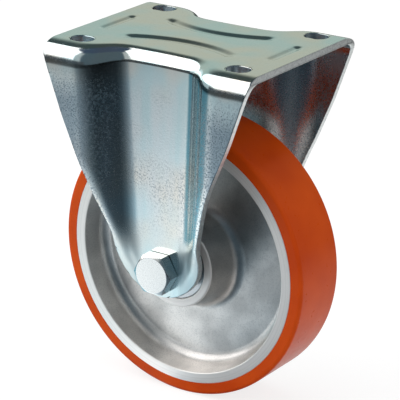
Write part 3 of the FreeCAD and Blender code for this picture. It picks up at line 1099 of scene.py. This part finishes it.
@dataclass
class LockNut(AxleBolt):
    """Hexagon lock nut with a round collar on the far leg. Sizes are in millimetres."""

    seat: float = 30.25
    hex_height: float = 7.0
    collar_height: float = 3.0
    collar_radius: float = 7.6
    collar_wall: float = 1.2
    collar_round: float = 0.7

    def build(self, finishes: Finishes) -> bpy.types.Object:
        """Make the nut and dress it."""
        top = self.seat + self.hex_height
        end = top + self.collar_height
        obj = self.hexagon("axle_nut_plated", self.seat, top)
        Bench.cut(obj, self.cone("outer_cone", self.seat - 1.0, top), "INTERSECT")
        Bench.cut(obj, self.cone("inner_cone", end, self.seat), "INTERSECT")
        inner = self.collar_radius - self.collar_wall
        collar = Bench.spun("collar", [
            (self.radius + 0.3, top - 1.0, 0.0), (self.collar_radius, top - 1.0, 0.0),
            (self.collar_radius, end, self.collar_round), (inner, end, 0.15), (inner, top, 0.0),
            (self.radius + 0.3, top, 0.0),
        ], self.axle, self.steps)
        Bench.cut(obj, collar, "UNION")
        bore = Bench.spun("bore", [
            (0.0, self.seat - 1.0, 0.0), (self.radius, self.seat - 1.0, 0.0),
            (self.radius, end + 1.0, 0.0), (0.0, end + 1.0, 0.0),
        ], self.axle, self.steps)
        Bench.cut(obj, bore, "DIFFERENCE")
        obj.data.materials.clear()
        obj.data.materials.append(finishes.bolt)
        Bench.bevelled(obj, self.edge_round, 2, 28.0)
        Bench.smoothed(obj, 32.0)
        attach(obj, "bracket")
        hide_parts("axle_nut")
        return obj


@dataclass
class DressedNodes:
    """Solids whose shape is already right; they only get a finish."""

    rear: Tuple[str, ...] = ("rear", "front")

    def build(self, finishes: Finishes) -> List[str]:
        """Give every remaining solid its material.

        Args:
            finishes: The castor's materials.

        Returns:
            The names of the dressed solids.
        """
        plan: Dict[str, bpy.types.Material] = {
            "nut_insert": finishes.nylon,
            "axle_tube": finishes.tube, "inner_ring_spacer": finishes.tube,
        }
        for end in self.rear:
            plan[end + "_distance_ring"] = finishes.tube
            plan[end + "_inner_ring"] = finishes.bearing
            plan[end + "_outer_ring"] = finishes.bearing
            plan[end + "_balls"] = finishes.bearing
            plan[end + "_cage"] = finishes.brass
            plan[end + "_outer_seal"] = finishes.rubber
            plan[end + "_inner_seal"] = finishes.rubber
        for name, material in plan.items():
            node = frame["nodes"][name]
            node.data.materials.clear()
            node.data.materials.append(material)
        return sorted(plan)


# Studio


@dataclass(frozen=True)
class Panel:
    """Large soft panel of the studio, far off, that bright metal mirrors.

    It spans a range of bearings about its middle, counted from +X towards +Y, and a range of
    heights over the horizon, in degrees. Its tone is a linear colour.
    """

    name: str
    bearing: float
    half_span: float
    low: float
    high: float
    tone: Tuple[float, float, float]
    soft: float = 3.0


@dataclass(frozen=True)
class Lamp:
    """Soft light: its middle, the point that it faces, its width and height, and its watts."""

    name: str
    middle: Tuple[float, float, float]
    faces: Tuple[float, float, float]
    size: Point2
    power: float


@dataclass
class Studio:
    """Plain pale floor, soft lamps and the camera. Sizes are in metres unless named."""

    floor_height: float = -0.160
    azimuth: float = 34.73
    elevation: float = 20.02
    distance: float = 0.97289
    focal_pixels: float = 2224.91
    frame_pixels: float = 400.0
    aim: Tuple[float, float, float] = (0.0, 0.0, -0.070)
    aim_right: float = 0.00014
    aim_up: float = -0.00371
    sensor: float = 36.0
    ambient: float = 0.50
    lamps: Tuple[Lamp, ...] = (
        Lamp("key_left", (-0.62, -0.40, 0.62), (0.0, -0.05, -0.05), (1.25, 0.85), 8.0),
        Lamp("fill_right", (0.85, -0.25, 0.45), (0.0, 0.0, -0.08), (0.6, 0.6), 1.3),
        Lamp("overhead", (0.05, 0.15, 0.95), (0.0, 0.0, -0.08), (0.7, 0.7), 2.2),
    )
    walls: Tuple[float, float, float] = (0.46, 0.50, 0.51)
    panels: Tuple[Panel, ...] = (
        Panel("right_wall", 45.0, 42.0, -5.0, 50.0, (0.20, 0.205, 0.21), 6.0),
        Panel("back_wall", 125.0, 45.0, -5.0, 58.0, (0.47, 0.53, 0.47), 5.0),
        Panel("ceiling", 0.0, 180.0, 55.0, 95.0, (0.05, 0.075, 0.12), 5.0),
        Panel("back_wall_top", 130.0, 48.0, 34.0, 72.0, (0.05, 0.07, 0.07), 11.0),
        Panel("front_wall", -45.0, 52.0, -5.0, 62.0, (0.07, 0.108, 0.135), 4.0),
        Panel("corner_light", 152.0, 7.0, 3.0, 11.0, (0.9, 1.05, 1.08), 3.0),
        Panel("left_box", -157.0, 38.0, 7.0, 61.0, (1.9, 1.9, 1.9), 2.5),
        Panel("front_skirting", -116.0, 32.0, -5.0, 7.0, (0.06, 0.07, 0.08), 2.0),
    )

    def directions(self) -> Tuple[Vector, Vector, Vector]:
        """Right, up and back directions of the camera."""
        azimuth, elevation = math.radians(self.azimuth), math.radians(self.elevation)
        back = Vector((
            math.sin(azimuth) * math.cos(elevation), -math.cos(azimuth) * math.cos(elevation), math.sin(elevation),
        ))
        right = Vector((math.cos(azimuth), math.sin(azimuth), 0.0))
        return right, back.cross(right), back

    def camera(self) -> None:
        """Place the camera at the photograph's viewpoint."""
        right, up, back = self.directions()
        data = bpy.data.cameras.new("camera")
        data.sensor_width = self.sensor
        data.lens = self.focal_pixels * self.sensor / self.frame_pixels
        data.clip_start = 0.01
        data.clip_end = 50.0
        obj = bpy.data.objects.new("camera", data)
        bpy.context.scene.collection.objects.link(obj)
        obj.location = Vector(self.aim) + back * self.distance + right * self.aim_right + up * self.aim_up
        obj.rotation_mode = "QUATERNION"
        obj.rotation_quaternion = (-back).to_track_quat("-Z", "Y")
        bpy.context.scene.camera = obj

    def world(self) -> None:
        """Pale surroundings: white to the camera, panels in reflections, even as light."""
        world = bpy.data.worlds.new("studio")
        bpy.context.scene.world = world
        world.use_nodes = True
        tree = world.node_tree
        tree.nodes.clear()
        output = tree.nodes.new("ShaderNodeOutputWorld")
        path = tree.nodes.new("ShaderNodeLightPath")
        lights = []
        for strength, colour in ((self.ambient, None), (1.0, self.mirrored(tree)), (1.0, None)):
            light = tree.nodes.new("ShaderNodeBackground")
            light.inputs["Color"].default_value = (1.0, 1.0, 1.0, 1.0)
            light.inputs["Strength"].default_value = strength
            if colour is not None:
                tree.links.new(colour, light.inputs["Color"])
            lights.append(light)
        last = lights[0]
        for key, light in (("Is Glossy Ray", lights[1]), ("Is Transmission Ray", lights[2]), ("Is Camera Ray", lights[2])):
            mix = tree.nodes.new("ShaderNodeMixShader")
            tree.links.new(path.outputs[key], mix.inputs[0])
            tree.links.new(last.outputs[0], mix.inputs[1])
            tree.links.new(light.outputs[0], mix.inputs[2])
            last = mix
        tree.links.new(last.outputs[0], output.inputs["Surface"])

    def mirrored(self, tree: bpy.types.NodeTree) -> bpy.types.NodeSocket:
        """Colour of the surroundings by direction, as bright metal mirrors them."""
        place = tree.nodes.new("ShaderNodeTexCoord").outputs["Generated"]
        split = tree.nodes.new("ShaderNodeSeparateXYZ")
        tree.links.new(place, split.inputs[0])
        height = tree.nodes.new("ShaderNodeMath")
        height.operation = "ARCSINE"
        tree.links.new(split.outputs["Z"], height.inputs[0])
        level = tree.nodes.new("ShaderNodeVectorMath")
        level.operation = "MULTIPLY"
        level.inputs[1].default_value = (1.0, 1.0, 0.0)
        tree.links.new(place, level.inputs[0])
        heading = tree.nodes.new("ShaderNodeVectorMath")
        heading.operation = "NORMALIZE"
        tree.links.new(level.outputs[0], heading.inputs[0])
        last: object = (*self.walls, 1.0)
        for panel in self.panels:
            turn = math.radians(panel.bearing)
            facing = tree.nodes.new("ShaderNodeVectorMath")
            facing.operation = "DOT_PRODUCT"
            facing.inputs[1].default_value = (math.cos(turn), math.sin(turn), 0.0)
            tree.links.new(heading.outputs[0], facing.inputs[0])
            angle = tree.nodes.new("ShaderNodeMath")
            angle.operation = "ARCCOSINE"
            tree.links.new(facing.outputs["Value"], angle.inputs[0])
            mask: object = 1.0
            for source, inside, outside in (
                (angle, panel.half_span - panel.soft, panel.half_span + panel.soft),
                (height, panel.low + panel.soft, panel.low - panel.soft),
                (height, panel.high - panel.soft, panel.high + panel.soft),
            ):
                edge = tree.nodes.new("ShaderNodeMapRange")
                edge.interpolation_type = "SMOOTHSTEP"
                tree.links.new(source.outputs[0], edge.inputs["Value"])
                edge.inputs["From Min"].default_value = math.radians(outside)
                edge.inputs["From Max"].default_value = math.radians(inside)
                both = tree.nodes.new("ShaderNodeMath")
                both.operation = "MULTIPLY"
                tree.links.new(edge.outputs[0], both.inputs[0])
                if isinstance(mask, bpy.types.NodeSocket):
                    tree.links.new(mask, both.inputs[1])
                else:
                    both.inputs[1].default_value = mask
                mask = both.outputs[0]
            mix = tree.nodes.new("ShaderNodeMix")
            mix.data_type = "RGBA"
            tree.links.new(mask, mix.inputs[0])
            if isinstance(last, bpy.types.NodeSocket):
                tree.links.new(last, mix.inputs[6])
            else:
                mix.inputs[6].default_value = last
            mix.inputs[7].default_value = (*panel.tone, 1.0)
            last = mix.outputs[2]
        return last

    @staticmethod
    def seen(tree: bpy.types.NodeTree) -> bpy.types.NodeSocket:
        """One where the camera, a reflection or a clear body looks, nought for soft light."""
        path = tree.nodes.new("ShaderNodeLightPath")
        last = path.outputs["Is Camera Ray"]
        for key in ("Is Glossy Ray", "Is Transmission Ray"):
            either = tree.nodes.new("ShaderNodeMath")
            either.operation = "MAXIMUM"
            tree.links.new(last, either.inputs[0])
            tree.links.new(path.outputs[key], either.inputs[1])
            last = either.outputs[0]
        return last

    def floor(self) -> None:
        """White floor that keeps a soft shadow."""
        Bench.clear()
        bpy.ops.mesh.primitive_plane_add(size=8.0, location=(0, 0, self.floor_height))
        obj = Bench.named("floor")
        bpy.ops.object.transform_apply(location=True, rotation=True, scale=True)
        shader = Shader("floor_white")
        glow = shader.node("ShaderNodeEmission")
        glow.inputs["Strength"].default_value = 0.80
        matt = shader.node("ShaderNodeBsdfDiffuse")
        matt.inputs["Color"].default_value = (0.26, 0.26, 0.26, 1.0)
        both = shader.node("ShaderNodeAddShader")
        shader.link(glow.outputs[0], both.inputs[0])
        shader.link(matt.outputs[0], both.inputs[1])
        plain = shader.node("ShaderNodeBsdfDiffuse")
        plain.inputs["Color"].default_value = (0.7, 0.7, 0.7, 1.0)
        mix = shader.node("ShaderNodeMixShader")
        shader.link(self.seen(shader.tree), mix.inputs[0])
        shader.link(plain.outputs[0], mix.inputs[1])
        shader.link(both.outputs[0], mix.inputs[2])
        shader.link(mix.outputs[0], shader.output.inputs["Surface"])
        shader.tree.nodes.remove(shader.surface)
        obj.data.materials.append(shader.material)

    def lamp(self, lamp: Lamp) -> None:
        """Hang a soft box."""
        data = bpy.data.lights.new(lamp.name, "AREA")
        data.shape = "RECTANGLE"
        data.size, data.size_y = lamp.size
        data.energy = lamp.power
        obj = bpy.data.objects.new(lamp.name, data)
        bpy.context.scene.collection.objects.link(obj)
        obj.location = lamp.middle
        obj.rotation_mode = "QUATERNION"
        obj.rotation_quaternion = (Vector(lamp.faces) - Vector(lamp.middle)).to_track_quat("-Z", "Y")
        obj.visible_camera = False
        obj.visible_glossy = False

    @staticmethod
    def mirrored_only(obj: bpy.types.Object) -> None:
        """Let only reflections see a panel, so that it neither shows nor shades."""
        obj.visible_camera = False
        obj.visible_diffuse = False
        obj.visible_shadow = False
        obj.visible_transmission = False

    def floor_sheen(self) -> None:
        """Pool of light on the floor as the bright metal mirrors it, by bearing and distance."""
        Bench.clear()
        bpy.ops.mesh.primitive_plane_add(size=8.0, location=(0, 0, self.floor_height + 0.0005))
        obj = Bench.named("floor_sheen")
        bpy.ops.object.transform_apply(location=True, rotation=True, scale=True)
        shader = Shader("floor_sheen")
        split = shader.node("ShaderNodeSeparateXYZ")
        shader.link(shader.place, split.inputs[0])
        bearing = shader.node("ShaderNodeMath", operation="ARCTAN2")
        shader.link(split.outputs["Y"], bearing.inputs[0])
        shader.link(split.outputs["X"], bearing.inputs[1])
        turn = shader.ramp(bearing.outputs[0], -math.pi, math.pi)
        tones = shader.node("ShaderNodeValToRGB")
        shader.link(turn, tones.inputs[0])
        stops = (
            (-180, (0.16, 0.40, 0.50)), (-161, (0.20, 0.42, 0.52)), (-148, (0.26, 0.50, 0.60)), (-139, (1.12, 1.15, 1.16)),
            (-124, (0.95, 1.02, 1.06)), (-118, (0.84, 0.91, 0.95)), (-109, (0.44, 0.54, 0.61)), (-98, (0.26, 0.33, 0.38)), (-80, (0.09, 0.13, 0.16)),
            (-62, (0.04, 0.062, 0.08)), (-20, (0.04, 0.062, 0.08)), (5, (0.40, 0.42, 0.43)), (30, (0.80, 0.81, 0.82)),
            (90, (0.70, 0.71, 0.71)), (135, (0.20, 0.40, 0.48)), (180, (0.14, 0.40, 0.50)),
        )
        elements = tones.color_ramp.elements
        while len(elements) < len(stops):
            elements.new(0.5)
        for element, (degrees, tone) in zip(elements, stops):
            element.position = (degrees + 180) / 360
            element.color = (*tone, 1.0)
        reach = shader.node("ShaderNodeVectorMath", operation="LENGTH")
        shader.link(shader.place, reach.inputs[0])
        near = shader.ramp(reach.outputs["Value"], 0.13, 0.46, 1.35, 0.55)
        far = shader.ramp(reach.outputs["Value"], 0.52, 0.80, 1.0, 0.12)
        fade = shader.node("ShaderNodeMath", operation="MULTIPLY")
        shader.link(near, fade.inputs[0])
        shader.link(far, fade.inputs[1])
        glow = shader.node("ShaderNodeEmission")
        shader.link(tones.outputs[0], glow.inputs["Color"])
        shader.link(fade.outputs[0], glow.inputs["Strength"])
        shader.link(glow.outputs[0], shader.output.inputs["Surface"])
        shader.tree.nodes.remove(shader.surface)
        obj.data.materials.append(shader.material)
        self.mirrored_only(obj)

    def build(self) -> None:
        """Set up the whole studio."""
        bpy.context.scene.view_settings.view_transform = "Standard"
        self.camera()
        self.world()
        self.floor()
        self.floor_sheen()
        for lamp in self.lamps:
            self.lamp(lamp)


def main() -> None:
    """Build the castor's looks in order and report each piece."""
    logging.basicConfig(level=logging.INFO, format="%(message)s")
    axle = frame["joints"][0]["pos_m"][2] / MM
    finishes = Finishes(axle)
    for part in (Bracket(axle=axle), WheelCentre(axle=axle), Tread(axle=axle), AxleBolt(axle=axle), LockNut(axle=axle)):
        obj = part.build(finishes)
        LOG.info("%s: %d faces", obj.name, len(obj.data.polygons))
    LOG.info("dressed solids: %s", ", ".join(DressedNodes().build(finishes)))
    Studio().build()


if __name__ == "__main__":
    main()
